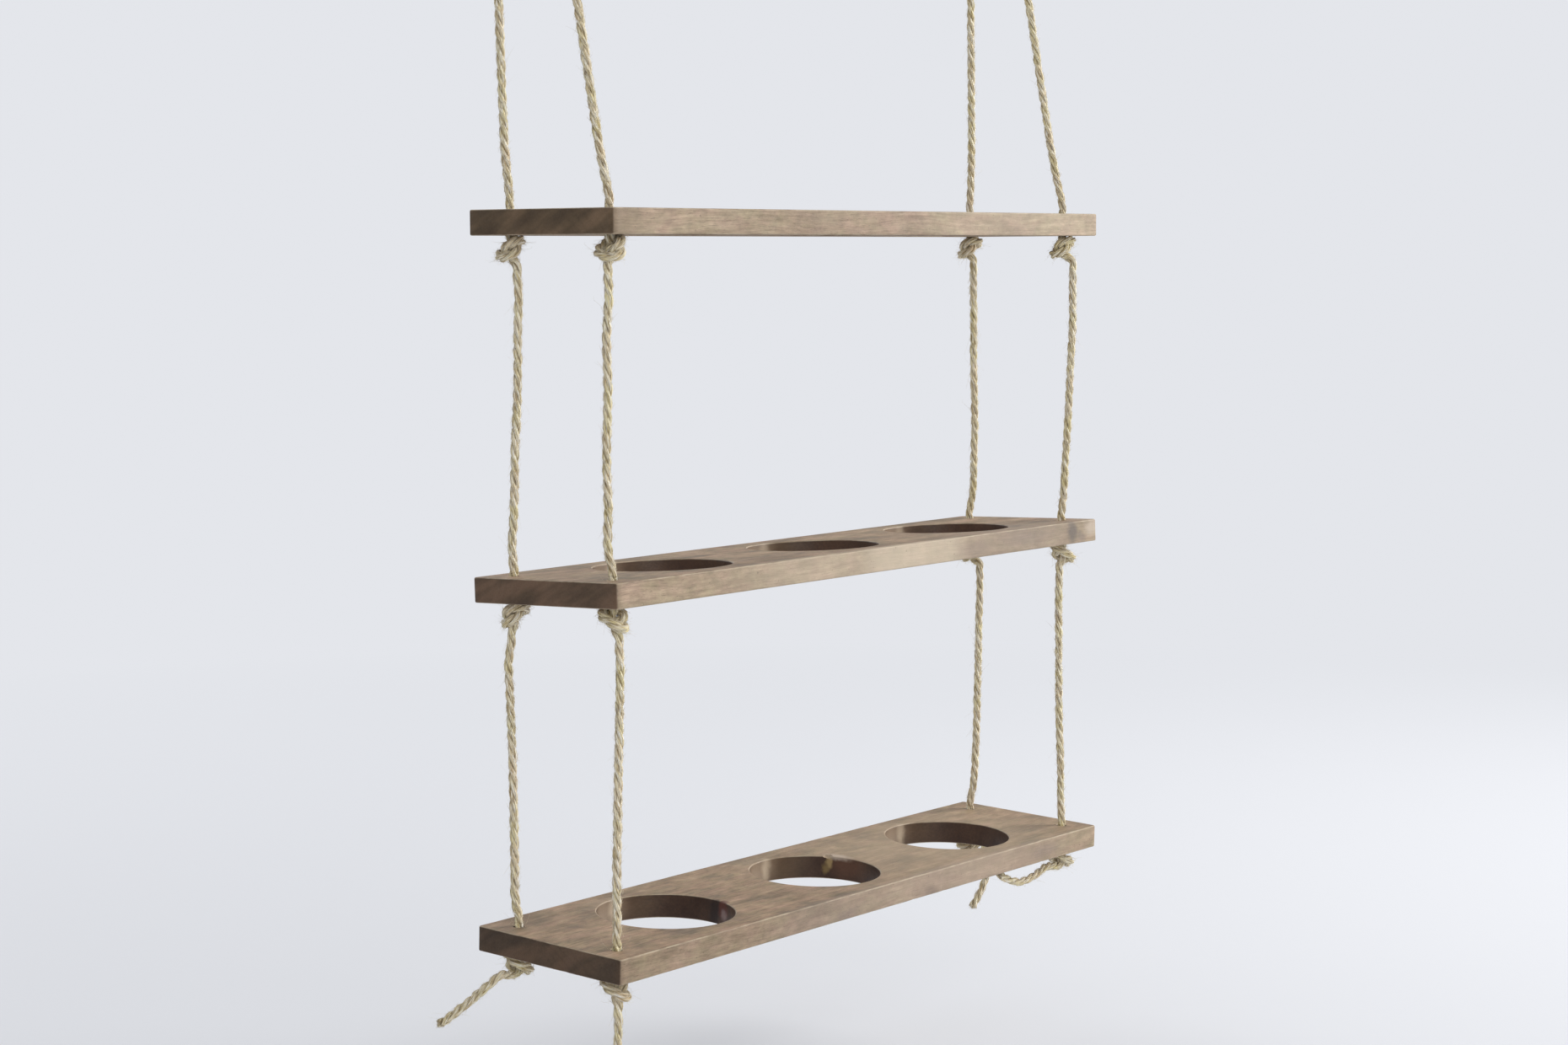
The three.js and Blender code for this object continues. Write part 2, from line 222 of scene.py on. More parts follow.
def run_down(corner):
    """The pieces of one rope run from its hook to its cut end, with their points, in order."""
    row, side = corner.split("_")
    leg = np.array([SIDES[side] * ROPE_X, SEAT_Y + ROWS[row] * LEG_SPREAD / 2, -BEND_DROP])
    pieces = []
    for bay, tier in zip(WANDER, DROP):
        knot = knot_points(tier, corner)
        pieces.append((f"rope_{bay}_{corner}", stretch_points(bay, corner, leg, knot[0])))
        pieces.append((f"knot_{tier}_{corner}", knot))
        leg = knot[-1]
    pieces.append((f"rope_tail_{corner}", tail_points(corner, knot)))
    return pieces


def whole_rope(side):
    """One end's rope as pieces, from its front cut end up over the hook and down to its back cut end."""
    front = [(name, points[::-1]) for name, points in run_down(f"front_{side}")][::-1]
    return front + [(f"rope_bend_{side}", bend_points(side))] + run_down(f"back_{side}")


# Mesh building
def linked(name, data):
    """A new object in the scene."""
    obj = bpy.data.objects.new(name, data)
    bpy.context.scene.collection.objects.link(obj)
    return obj


def smooth_noise(rng, count, step, amount):
    """A wandering value along a run of samples, from random values a step apart."""
    knots = rng.normal(0, amount, int(count / step) + 4)
    return np.interp(np.arange(count) / step, np.arange(len(knots)), knots)


def unit(vectors):
    return vectors / np.linalg.norm(vectors, axis=1)[:, None]


def frames_along(points):
    """Unit tangents, and normals that don't spin about the line."""
    tangents = unit(np.gradient(points, axis=0))
    normal = np.cross(tangents[0], [0.3, 0.8, 0.5])
    normals = []
    for tangent in tangents:
        normal = normal - tangent * np.dot(normal, tangent)
        normal /= np.linalg.norm(normal)
        normals.append(normal)
    return tangents, np.array(normals)


class Shell:
    """Collects tubes into one mesh."""

    def __init__(self):
        self.verts, self.faces, self.uvs, self.slots, self.count = [], [], [], [], 0

    def tube(self, rings, along, slot=0, caps=True):
        """Rings of points joined to a tube; uv is the way along and the share round."""
        n, sides = rings.shape[:2]
        base = self.count
        self.verts.append(rings.reshape(-1, 3))
        self.count += n * sides
        i, j = np.meshgrid(np.arange(n - 1), np.arange(sides), indexing="ij")
        i, j = i.ravel(), j.ravel()
        k = (j + 1) % sides
        quads = base + np.stack([i * sides + j, i * sides + k, (i + 1) * sides + k, (i + 1) * sides + j], 1)
        self.faces.extend(quads.tolist())
        u = along[np.stack([i, i, i + 1, i + 1], 1)]
        v = np.stack([j, j + 1, j + 1, j], 1) / sides
        self.uvs.append(np.stack([u, v], 2).reshape(-1, 2))
        self.slots.extend([slot] * len(quads))
        if caps:
            shares = np.arange(sides) / sides
            for ring, order in ((0, -1), (n - 1, 1)):
                self.faces.append([base + ring * sides + m for m in range(sides)][::order])
                self.uvs.append(np.column_stack([np.full(sides, along[ring]), shares])[::order])
                self.slots.append(slot)

    def make(self, name, materials):
        mesh = bpy.data.meshes.new(name)
        mesh.from_pydata(np.vstack(self.verts).tolist(), [], self.faces)
        layer = mesh.uv_layers.new(name="along")
        layer.data.foreach_set("uv", np.vstack(self.uvs).ravel())
        for material in materials:
            mesh.materials.append(material)
        mesh.polygons.foreach_set("material_index", self.slots)
        mesh.polygons.foreach_set("use_smooth", [True] * len(mesh.polygons))
        mesh.update()
        return linked(name, mesh)


def ring_points(centres, tangents, outward, radii, sides):
    across = np.cross(tangents, outward)
    a = np.arange(sides) / sides * FULL_TURN
    return centres[:, None] + radii[..., None] * (
        np.cos(a)[None, :, None] * outward[:, None] + np.sin(a)[None, :, None] * across[:, None])


# Rope: three twisted strands with stray fibres, laid along a whole run and then cut into its pieces.
# A wander is a step in samples and an amount; shares are of the rope's radius.
SAMPLE_STEP = 1.3 * MM
STRANDS, STRAND_SIDES, YARNS = 3, 15, 5
STRAND_AT, STRAND_RADIUS = 0.52, 0.5
KNOT_SWELL, KNOT_BLEND = 0.10, 4
FLARE, FLARE_LENGTH = 0.2, 9 * MM
LAY_WANDER, STRAND_WANDER = (40, 0.25), (18, 0.07)
REACH_WANDER, RADIUS_WANDER = (7, 0.03), (4, 0.028)
YARN_RELIEF, ROUGHNESS = 0.05, 0.02
STRAND_SHIFT = 0.37
HOLE_CLEAR, UNDER_BOARD = 3.7 * MM, 0.05 * MM

# Fibres: number per millimetre, furthest reach, and limits from the rope's line, for a stretch and a knot
STRETCH_FIBRES = {"fuzz": 0.65, "reach": 2.4, "limit": 5.2 * MM, "lying_limit": ROPE * 0.54, "loose": 0.045}
KNOT_FIBRES = {"fuzz": 1.1, "reach": 3.0, "limit": 6.3 * MM, "lying_limit": ROPE * 0.6, "loose": 0.12}
FUZZ_WIDTH, LYING_WIDTH, LOOSE_WIDTH = 0.085 * MM, 0.12 * MM, 0.07 * MM
LYING_PER_MM = 0.7
LOOSE_LIMIT, LOOSE_WINDOW = 11 * MM, 20
FRAYED_FIBRES, FRAYED_LIMIT = 60, 5.4 * MM
NEAR_END, WINDOW = 9 * MM, 9


def hair(shell, rng, root, along, out, reach, nearby, limit, width=FUZZ_WIDTH, slot=1, steps=6, span=None):
    """A stray fibre leaves its strand nearly along it and curls away, at most to the limit."""
    length = span or reach * rng.uniform(1.6, 3.2)
    width = width * rng.uniform(0.6, 1.5)
    side = np.cross(along, out)
    curl = rng.normal(0, 0.5)
    t = np.linspace(0, 1, steps)[:, None]
    lift = reach * np.minimum(1, t ** rng.uniform(1.0, 1.8))
    line = root + along * length * t + out * lift + side * curl * length * t ** 2 * 0.5
    gap = line[:, None] - nearby[None]
    far = np.linalg.norm(gap, axis=2)
    closest = far.argmin(axis=1)
    radial, far = gap[np.arange(steps), closest], far[np.arange(steps), closest][:, None]
    line -= radial * np.clip(1 - limit / far, 0, 1)
    tangents, normals = frames_along(line)
    radii = np.linspace(width, width * 0.4, steps)[:, None] * np.ones(3)
    shell.tube(ring_points(line, tangents, normals, radii, 3), np.linspace(0, 0.01, steps), slot, caps=False)


def pressed(rings, name):
    """Flattens what a knot would push into the board above it, outside the rope hole."""
    _, tier, row, side = name.split("_")
    matrix = np.array(tier_matrix(tier))
    local = (rings - matrix[:3, 3]) @ matrix[:3, :3]
    away = np.hypot(local[..., 0] - SIDES[side] * ROPE_X, local[..., 1] - ROWS[row] * ROPE_Y)
    under = (away > HOLE_CLEAR) & (local[..., 2] < 0)
    lowered = np.minimum(local[..., 2], -THICK / 2 - UNDER_BOARD)
    local[..., 2] = np.where(under, lowered, local[..., 2])
    return local @ matrix[:3, :3].T + matrix[:3, 3]


class Strand:
    """One strand: its middle line, directions and radius at each sample of the rope's own line."""

    def __init__(self, rng, run, centre, out, radius, flare):
        self.run, self.centre = run, centre
        reach = radius * (STRAND_AT + smooth_noise(rng, len(run), *REACH_WANDER) + flare * FLARE)
        self.radius = radius * (STRAND_RADIUS + smooth_noise(rng, len(run), *RADIUS_WANDER))
        self.core = centre + out * reach[:, None]
        self.along = unit(np.gradient(self.core, axis=0))
        self.outward = unit(out - self.along * np.sum(out * self.along, axis=1)[:, None])

    def rings(self, rng, number):
        """The strand's skin, ribbed by its yarns."""
        phi = np.arange(STRAND_SIDES) / STRAND_SIDES * FULL_TURN
        yarn = np.cos(YARNS * phi[None, :] - (FULL_TURN * self.run / YARN_STEP)[:, None] + number)
        rough = rng.normal(0, ROUGHNESS, (len(self.run), STRAND_SIDES))
        radii = self.radius[:, None] * (1 + YARN_RELIEF * yarn + rough)
        return ring_points(self.core, self.along, self.outward, radii, STRAND_SIDES)

    def face(self, i, turn):
        """The way out of the strand at a sample, turned about the strand."""
        return math.cos(turn) * self.outward[i] + math.sin(turn) * np.cross(self.along[i], self.outward[i])

    def pick(self, rng, first, last, spread):
        """A random sample of a piece, and a random way out of the strand there."""
        i = int(rng.integers(first + 2, max(first + 3, last - 2)))
        return i, self.face(i, rng.uniform(-spread, spread))

    def root(self, i, face, depth):
        return self.core[i] + face * self.radius[i] * depth

    def nearby(self, i, first, last):
        """The rope's own line about a sample, within its piece."""
        return self.centre[max(first, i - WINDOW):min(last, i + WINDOW) + 1]

    def count(self, first, last, per_mm):
        return int((self.run[last] - self.run[first]) / MM * per_mm)

    def add_fuzz(self, rng, shell, first, last, kind):
        """Short stray fibres in the piece's own mesh, pointing inwards near its ends."""
        for _ in range(self.count(first, last, kind["fuzz"])):
            i, face = self.pick(rng, first, last, 1.3)
            way = self.along[i] * (1 if rng.random() < 0.7 else -1)
            if self.run[i] - self.run[first] < NEAR_END:
                way = self.along[i]
            elif self.run[last] - self.run[i] < NEAR_END:
                way = -self.along[i]
            reach = rng.uniform(0.6, kind["reach"]) * MM
            nearby = self.nearby(i, first, last)
            hair(shell, rng, self.root(i, face, 0.93), way, face, reach, nearby, kind["limit"])

    def add_lying(self, rng, shell, first, last, kind):
        """Fibres that lie askew on the strand's skin."""
        for _ in range(self.count(first, last, LYING_PER_MM)):
            i, face = self.pick(rng, first, last, 1.1)
            way = self.along[i] * (-1 if self.run[last] - self.run[i] < NEAR_END else 1)
            way = way + np.cross(self.along[i], self.outward[i]) * rng.normal(0, 0.4)
            reach = rng.uniform(0.2, 0.5) * MM
            hair(shell, rng, self.root(i, face, 0.97), way / np.linalg.norm(way), face, reach,
                 self.nearby(i, first, last), kind["lying_limit"], LYING_WIDTH, steps=4,
                 span=rng.uniform(2.0, 5.5) * MM)

    def add_loose(self, rng, shell, first, last, kind):
        """Long loose fibres, in a mesh of their own."""
        for _ in range(self.count(first, last, kind["loose"])):
            i, face = self.pick(rng, first, last, 1.2)
            way = self.along[i] * (1 if rng.random() < 0.6 else -1)
            reach = rng.uniform(2.2, 6.5) * MM
            nearby = self.centre[max(0, i - LOOSE_WINDOW):i + LOOSE_WINDOW + 1]
            hair(shell, rng, self.root(i, face, 0.8), way, face, reach, nearby, LOOSE_LIMIT, LOOSE_WIDTH,
                 slot=0, steps=11)

    def fray(self, rng, shell, end, way, first, last):
        """Fibres that stick out of a cut end."""
        for _ in range(FRAYED_FIBRES):
            i = end - way * int(rng.integers(0, 5))
            face = self.face(i, rng.uniform(0, FULL_TURN))
            root = self.root(i, face, rng.uniform(0.2, 0.9))
            reach = rng.uniform(0.3, 1.0) * MM
            nearby = self.nearby(i, first, last)
            hair(shell, rng, root, self.along[i] * way, face, reach, nearby, FRAYED_LIMIT)


def sampled(pieces):
    """Even samples along the joined line, as distances and points, and the distances where pieces meet."""
    lines = [smooth(points) for _, points in pieces]
    joined = np.vstack(lines)
    full = distances(joined)
    ends = np.cumsum([len(line) for line in lines])
    borders = [0] + [(full[end - 1] + full[end]) / 2 for end in ends[:-1]] + [full[-1]]
    fresh = np.concatenate([[True], np.diff(full) > 1e-7])
    run = np.linspace(0, full[-1], int(full[-1] / SAMPLE_STEP))
    centre = np.column_stack([np.interp(run, full[fresh], joined[fresh, axis]) for axis in range(3)])
    for _ in range(2):
        centre[1:-1] = (centre[:-2] + 2 * centre[1:-1] + centre[2:]) / 4
    return run, centre, borders


def strands(pieces, seed, loose):
    """Builds a rope's strands, with long loose fibres apart; returns each piece's name, shell and line."""
    rng = np.random.default_rng(seed)
    run, centre, borders = sampled(pieces)
    tangents, normals = frames_along(centre)
    binormals = np.cross(tangents, normals)
    in_knot = np.zeros(len(run))
    for (name, _), start, end in zip(pieces, borders, borders[1:]):
        if name.startswith("knot"):
            in_knot[(run > start) & (run < end)] = 1
    blend = 2 * KNOT_BLEND + 1
    in_knot = np.convolve(np.pad(in_knot, KNOT_BLEND, "edge"), np.ones(blend) / blend, "valid")
    radius = (ROPE / 2) * (1 + KNOT_SWELL * in_knot)
    angle = -FULL_TURN * run / LAY + smooth_noise(rng, len(run), *LAY_WANDER)
    flare = np.clip(1 - np.minimum(run, run[-1] - run) / FLARE_LENGTH, 0, 1) ** 2
    cuts = [int(round(border / run[-1] * (len(run) - 1))) for border in borders]
    parts = [(name, Shell(), first, last) for (name, _), first, last in zip(pieces, cuts, cuts[1:])]
    for number in range(STRANDS):
        turn = angle + number * FULL_TURN / STRANDS + smooth_noise(rng, len(run), *STRAND_WANDER)
        out = np.cos(turn)[:, None] * normals + np.sin(turn)[:, None] * binormals
        strand = Strand(rng, run, centre, out, radius, flare)
        rings = strand.rings(rng, number)
        for name, shell, first, last in parts:
            skin = rings[first:last + 1]
            skin = pressed(skin, name) if name.startswith("knot") else skin
            shell.tube(skin, run[first:last + 1] + number * STRAND_SHIFT)
        for name, shell, first, last in parts:
            kind = KNOT_FIBRES if name.startswith("knot") else STRETCH_FIBRES
            strand.add_fuzz(rng, shell, first, last, kind)
            strand.add_lying(rng, shell, first, last, kind)
            strand.add_loose(rng, loose[name], first, last, kind)
            if first == 0:
                strand.fray(rng, shell, first, -1, first, last)
            if last == cuts[-1]:
                strand.fray(rng, shell, last, 1, first, last)
    return [(name, shell, centre[first:last + 1]) for name, shell, first, last in parts]


# Materials
def plug(tree, socket, value):
    """Links a socket or sets a value; a colour is three numbers."""
    if isinstance(value, bpy.types.NodeSocket):
        tree.links.new(value, socket)
    elif socket.type == "RGBA":
        socket.default_value = (*value, 1)
    else:
        socket.default_value = value


def add(tree, kind, props=None, **inputs):
    """A node with its properties and inputs; i0, i1 and so on stand for inputs by number."""
    node = tree.nodes.new("ShaderNode" + kind)
    for key, value in (props or {}).items():
        setattr(node, key, value)
    for key, value in inputs.items():
        by_number = key[0] == "i" and key[1:].isdigit()
        plug(tree, node.inputs[int(key[1:])] if by_number else node.inputs[key], value)
    return node


def new_material(name):
    material = bpy.data.materials.new(name)
    material.use_nodes = True
    return material, material.node_tree


def set_shader(tree, values):
    for name, value in values.items():
        plug(tree, tree.nodes["Principled BSDF"].inputs[name], value)


def math_node(tree, operation, a, b=0.0, clamp=False):
    return add(tree, "Math", {"operation": operation, "use_clamp": clamp}, i0=a, i1=b).outputs[0]


def plus(tree, a, b):
    return math_node(tree, "ADD", a, b)


def minus(tree, a, b, clamp=False):
    return math_node(tree, "SUBTRACT", a, b, clamp)


def times(tree, a, b):
    return math_node(tree, "MULTIPLY", a, b)


def weighted(tree, *terms):
    """The sum of each value times its weight."""
    total = times(tree, *terms[0])
    for value, weight in terms[1:]:
        total = plus(tree, total, times(tree, value, weight))
    return total


def mixed(tree, factor, first, second, blend="MIX"):
    node = add(tree, "Mix", {"data_type": "RGBA", "blend_type": blend, "clamp_factor": True},
               i0=factor, i6=first, i7=second)
    return node.outputs[2]


def layered(tree, tone, *layers):
    """Mixes each layer over the tone: its share, its colour and how it blends."""
    for share, colour, *blend in layers:
        tone = mixed(tree, share, tone, colour, *blend)
    return tone


def grey(value):
    return (value, value, value)


def ramp(tree, value, stops):
    node = add(tree, "ValToRGB", None, i0=value)
    elements = node.color_ramp.elements
    while len(elements) < len(stops):
        elements.new(0.5)
    for element, (place, colour) in zip(elements, stops):
        element.position = place
        element.color = (*colour, 1)
    return node.outputs[0]


def mask(tree, value, low, high, at_low=0.0, at_high=1.0):
    return ramp(tree, value, [(low, grey(at_low)), (high, grey(at_high))])


def noise(tree, vector, scale=1.0, detail=3.0, rough=0.55):
    return add(tree, "TexNoise", None, Vector=vector, Scale=scale, Detail=detail, Roughness=rough).outputs[0]


def vector_math(tree, operation, a, b=(0, 0, 0), **more):
    return add(tree, "VectorMath", {"operation": operation}, i0=a, i1=b, **more)


def stretched(tree, vector, scale):
    return vector_math(tree, "MULTIPLY", vector, scale).outputs[0]


def bumped(tree, strength, distance, height):
    return add(tree, "Bump", None, Strength=strength, Distance=distance, Height=height).outputs[0]


# A layer of fibres: cycles across a yarn and per metre along it, shift, detail and roughness
FIBRE_LAYERS = {
    "fine": (10, 170, 0, 4, 0.68), "bundle": (2.6, 80, 7.3, 3, 0.6), "fill": (0.7, 70, 3.1, 2, 0.5),
    "pale": (1.9, 120, 11.7, 2, 0.5), "fleck": (1.7, 130, 19.9, 2, 0.5),
}
ROPE_TONES = [(0.36, (0.19, 0.125, 0.06)), (0.42, (0.49, 0.385, 0.225)), (0.47, (0.75, 0.64, 0.45)),
              (0.54, (0.88, 0.80, 0.63)), (0.62, (0.96, 0.93, 0.85))]
ROPE_TINTS = [(0.36, (0.48, 0.48, 0.33)), (0.5, (0.51, 0.49, 0.42)), (0.66, (0.55, 0.485, 0.44))]
# Painted shade in the grooves between yarns and in the creases between strands
ROPE_GROOVE_SHADE, ROPE_CREASE_SHADE = (0.19, 0.14, 0.08), (0.24, 0.16, 0.065)
# The first of these, the pale flecks, are painted glints on the fibres
ROPE_GLINT, ROPE_FLECK, ROPE_SPECK = (0.93, 0.89, 0.82), (0.17, 0.115, 0.065), (0.16, 0.1, 0.05)
HAIR_TONES = [(0.3, (0.44, 0.36, 0.22)), (0.5, (0.70, 0.62, 0.46)), (0.7, (0.90, 0.85, 0.73))]


def rope_material():
    material, tree = new_material("rope_fibre")
    uv = add(tree, "SeparateXYZ", None, i0=add(tree, "UVMap", {"uv_map": "along"}).outputs[0])
    u, v = uv.outputs[0], uv.outputs[1]
    place = add(tree, "TexCoord").outputs[3]
    # yarns wind round the strand against its own lay; fibres run along them
    skew = minus(tree, times(tree, v, float(YARNS)), times(tree, u, 1 / YARN_STEP))
    groove = math_node(tree, "ABSOLUTE", math_node(tree, "SINE", times(tree, skew, math.pi)))

    def fibres(layer):
        across, along, shift, detail, rough = FIBRE_LAYERS[layer]
        at = add(tree, "CombineXYZ", None, i0=times(tree, skew, across), i1=times(tree, u, along), i2=shift)
        return noise(tree, at.outputs[0], 1.0, detail, rough)
    streak = weighted(tree, (fibres("fine"), 0.4), (fibres("bundle"), 0.6))
    # painted shade in the grooves between the yarns
    painted_groove_shade = minus(tree, 1.0, times(tree, groove, 2.6), clamp=True)
    # painted shade on the side of the strand that faces the rope's middle, in the creases between strands
    inner = minus(tree, 1.0, math_node(tree, "ABSOLUTE", minus(tree, times(tree, v, 2.0), 1.0)))
    fill = mask(tree, fibres("fill"), 0.42, 0.6, 0.05, 0.7)
    tone = layered(
        tree, ramp(tree, streak, ROPE_TONES),
        (0.9, ramp(tree, noise(tree, place, 60.0), ROPE_TINTS), "OVERLAY"),
        (times(tree, painted_groove_shade, 0.5), ROPE_GROOVE_SHADE),
        (times(tree, mask(tree, inner, 0.38, 0.52), fill), ROPE_CREASE_SHADE),
        # pale flecks along the fibres: painted glints
        (mask(tree, fibres("pale"), 0.57, 0.68, 0, 0.75), ROPE_GLINT),
        (mask(tree, fibres("fleck"), 0.58, 0.68, 0, 0.65), ROPE_FLECK),
        (mask(tree, noise(tree, place, 800.0, 2.0, 0.7), 0.68, 0.8, 0, 0.6), ROPE_SPECK))
    height = weighted(tree, (groove, 0.5), (streak, 1.3))
    set_shader(tree, {"Base Color": tone, "Roughness": 0.75, "Specular IOR Level": 0.3, "Sheen Weight": 0.15,
                      "Sheen Roughness": 0.5, "Normal": bumped(tree, 0.9, 0.6 * MM, height)})
    return material


def hair_material():
    material, tree = new_material("rope_stray_fibre")
    place = add(tree, "TexCoord").outputs[3]
    set_shader(tree, {"Base Color": ramp(tree, noise(tree, place, 300.0), HAIR_TONES), "Roughness": 0.5})
    return material


def steel_material():
    material, tree = new_material("zinc_steel")
    wear = noise(tree, add(tree, "TexCoord").outputs[3], 260.0, 5.0, 0.65)
    tone = ramp(tree, wear, [(0.3, (0.34, 0.34, 0.35)), (0.7, (0.54, 0.55, 0.57))])
    rough = mask(tree, wear, 0.25, 0.75, 0.25, 0.45)
    set_shader(tree, {"Base Color": tone, "Metallic": 1.0, "Roughness": rough,
                      "Normal": bumped(tree, 0.25, 0.2 * MM, wear)})
    return material


# Wood: colours by layer, and where each board is marked
WOOD = {
    "deep": (0.20, 0.145, 0.092), "mid": (0.305, 0.232, 0.152), "light": (0.39, 0.31, 0.205),
    "warm": (0.355, 0.258, 0.185), "face": (0.83, 0.785, 0.76), "rubbed": (0.52, 0.43, 0.31),
    "end_deep": (0.056, 0.033, 0.016), "end_mid": (0.098, 0.062, 0.032), "end_light": (0.17, 0.106, 0.059),
    "bore_deep": (0.032, 0.013, 0.006), "bore_light": (0.072, 0.036, 0.019),
    "pore": (0.1, 0.068, 0.042), "grime": (0.1, 0.07, 0.05),
}
HUES = [(0.38, (0.465, 0.49, 0.45)), (0.62, (0.535, 0.495, 0.51))]
CLOUDS = [(0.32, (0.28, 0.3, 0.3)), (0.5, (0.54, 0.53, 0.5)), (0.68, (0.76, 0.73, 0.74))]
END_DARKNESS = {"top": (1, 1, 1), "middle": (0.84, 0.78, 0.84), "bottom": (0.6, 0.55, 0.58)}
# Noises: cycles per metre along, across and through the board, detail and roughness
STILL_NOISE = {
    "wander": ((2.2, 9, 9), 2.0, 0.55), "wobble": ((14, 75, 75), 3.0, 0.55), "patch": ((9, 34, 34), 3.0, 0.6),
    "stain": ((8, 28, 28), 4.0, 0.6), "tint": ((21, 52, 52), 3.0, 0.55), "worn": ((60, 90, 90), 4.0, 0.55),
}
GRAIN_NOISE = {
    "fibre": ((24, 640, 640), 4, 0.62), "fine": ((95, 2600, 2600), 3, 0.6),
    "mottle": ((85, 170, 170), 4, 0.66), "hue": ((48, 110, 110), 3, 0.6), "cloud": ((26, 44, 44), 4, 0.62),
}
SEED_SHIFT = (1.7, 0.31, 0.77)
DRIFT_NOISE, DRIFT = (6, 22, 22), (0.02, 0.014, 0.014)
RAGGED_NOISE, RAGGED = 110.0, 7 * MM
SMEAR_SLANT, SMEAR = 28, (30, 15, 62)
RINGS_PER_METRE = 150.0
RING_TONES = [(0.0, grey(0.34)), (0.3, grey(0.66)), (0.75, grey(0.52)), (0.93, grey(0.2)), (1.0, grey(0.34))]
PITH = {"top": (0.045, -0.075), "middle": (-0.03, -0.06), "bottom": (0.025, -0.05)}
SKIN = 3 * MM

# Marks in a board's own frame: centre, radii, colour, strength and softness
# Faded patches on the boards, and on the bottom board a painted pool of light
FADING_AND_PAINTED_LIGHT = {
    "top": [
        ((-0.300, -0.07, 0), (0.022, 0.006, 0.03), (0.19, 0.14, 0.09), 0.45, 0.8),
        ((0.220, -0.07, 0), (0.140, 0.006, 0.03), (0.62, 0.52, 0.41), 0.16, 0.7),
    ],
    "middle": [
        ((0.200, -0.07, 0), (0.090, 0.040, 0.03), (0.29, 0.232, 0.18), 0.5, 0.8),
        ((-0.030, -0.07, 0), (0.140, 0.006, 0.03), (0.64, 0.54, 0.41), 0.3, 0.6),
        ((0.045, -0.07, 0), (0.062, 0.006, 0.03), (0.66, 0.56, 0.43), 0.35, 0.3),
    ],
    "bottom": [
        # a painted pool of light: the bottom board's top face paler towards its right
        ((0.140, -0.02, 0.0095), (0.130, 0.090, 0.02), (0.42, 0.33, 0.225), 0.45, 0.8),
        ((-0.270, 0.055, 0.0095), (0.030, 0.020, 0.01), (0.13, 0.09, 0.055), 0.45, 0.8),
        ((-0.075, -0.07, 0), (0.050, 0.006, 0.03), (0.24, 0.185, 0.15), 0.4, 0.7),
        ((0.100, -0.07, 0), (0.130, 0.006, 0.03), (0.40, 0.315, 0.275), 0.25, 0.7),
    ],
}
SPOTS_AND_HIGHLIGHT = {
    "top": [],
    "middle": [
        ((0.268, -0.07, 0.001), (0.007, 0.012, 0.009), (0.125, 0.105, 0.09), 0.8, 0.6),
        ((0.281, -0.07, -0.004), (0.005, 0.012, 0.004), (0.17, 0.14, 0.12), 0.5, 0.6),
        ((0.298, -0.07, 0.003), (0.010, 0.020, 0.006), (0.55, 0.46, 0.37), 0.6, 0.7),
        ((0.125, -0.07, -0.003), (0.020, 0.010, 0.006), (0.24, 0.18, 0.15), 0.45, 0.8),
        ((0.200, -0.07, 0.002), (0.030, 0.010, 0.005), (0.25, 0.195, 0.165), 0.4, 0.8),
    ],
    "bottom": [
        ((-0.1252, -0.0050, -0.001), (0.004, 0.0048, 0.0105), (0.018, 0.007, 0.004), 0.95, 0.35),
        ((-0.1265, -0.0140, 0.003), (0.006, 0.0058, 0.0085), (0.10, 0.027, 0.017), 0.9, 0.35),
        # a painted highlight on the dark knot in the left hole's wall
        ((-0.1275, -0.0150, -0.001), (0.006, 0.0032, 0.0045), (0.26, 0.185, 0.17), 0.75, 0.5),
        ((0.0540, 0.0060, 0.002), (0.008, 0.015, 0.009), (0.125, 0.055, 0.03), 0.6, 0.7),
        ((0.0490, 0.0218, 0.005), (0.006, 0.0026, 0.0045), (0.34, 0.235, 0.10), 0.8, 0.5),
        ((0.0480, 0.0245, -0.001), (0.005, 0.0020, 0.0045), (0.21, 0.14, 0.05), 0.75, 0.6),
        ((0.0550, 0.0170, 0.0095), (0.0065, 0.011, 0.003), (0.52, 0.42, 0.33), 0.7, 0.5),
        ((-0.045, -0.07, -0.006), (0.012, 0.010, 0.004), (0.17, 0.13, 0.115), 0.5, 0.7),
        ((0.065, -0.07, -0.006), (0.008, 0.010, 0.004), (0.16, 0.12, 0.10), 0.5, 0.7),
        ((0.225, -0.07, 0), (0.018, 0.010, 0.005), (0.22, 0.17, 0.145), 0.45, 0.8),
    ],
}
# How strongly each board's hole walls take the painted light and painted sheen
BORE_PAINTED_LIGHT = {"top": 0.3, "middle": 0.45, "bottom": 0.62}
SHEEN_BAND_SHIFT = (-0.001, 0.002, 0.0045)
BROWN_SHARE = (0.35, 0.7, 0.3)


def bore_painted_light(tier):
    """Painted light on the pot holes' walls: their backs painted paler as if lit, with a painted sheen band
    where that ends, beside a browner patch.
    """
    strength = BORE_PAINTED_LIGHT[tier]
    spots = []
    for x, shift, brown in zip(POT_X, SHEEN_BAND_SHIFT, BROWN_SHARE):
        spots += [
            ((x + 0.017, 0.049, 0), (0.021, 0.012, 0.015), (0.14, 0.09, 0.045), strength * brown, 0.8),
            ((x - 0.013, 0.050, 0.001), (0.019, 0.012, 0.014), (0.36, 0.265, 0.18), strength, 0.75),
            ((x + shift, 0.0515, 0.001), (0.0045, 0.006, 0.010), (0.60, 0.48, 0.34), strength * 0.8, 0.8),
        ]
    return spots


def marked(tree, tone, place, marks):
    """Mixes each mark's colour in, inside its ellipsoid and fading round it."""
    for centre, radii, colour, strength, softness in marks:
        away = vector_math(tree, "SUBTRACT", place, centre).outputs[0]
        away = stretched(tree, away, tuple(1 / radius for radius in radii))
        distance = vector_math(tree, "LENGTH", away).outputs[1]
        inside = add(tree, "MapRange", {"interpolation_type": "SMOOTHSTEP", "clamp": True}, i0=distance,
                     i1=1 - softness, i2=1 + softness, i3=1.0, i4=0.0).outputs[0]
        tone = mixed(tree, times(tree, inside, strength), tone, colour)
    return tone


